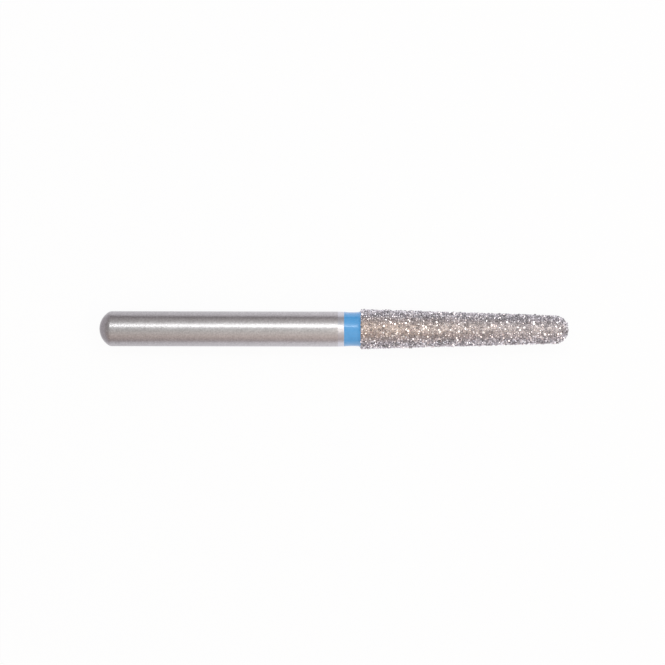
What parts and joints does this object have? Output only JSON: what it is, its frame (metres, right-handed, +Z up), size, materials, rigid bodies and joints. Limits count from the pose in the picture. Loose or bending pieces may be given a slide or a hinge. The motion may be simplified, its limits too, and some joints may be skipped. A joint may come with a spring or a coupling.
{
  "type": "dental bur",
  "caption": "Friction-grip dental bur: a straight steel shank with a rounded end, a blue ring and a long tapered head with a rounded tip, coated in diamond grit for grinding.",
  "frame": {"origin": "on the axis at the back end of the straight grip, where the rounded end begins", "axes": "+X along the axis from the shank to the tip of the head; +Z up with the bur level, and no side of it differs from another"},
  "size_m": [0.0215, 0.0018, 0.0018],
  "materials": {
    "steel": "satin",
    "lacquer": "gloss",
    "grit": "matte"
  },
  "bodies": {
    "root": {"steel_blank": "steel", "lacquer_band": "lacquer", "diamond_coating": "grit"}
  },
  "joints": []
}
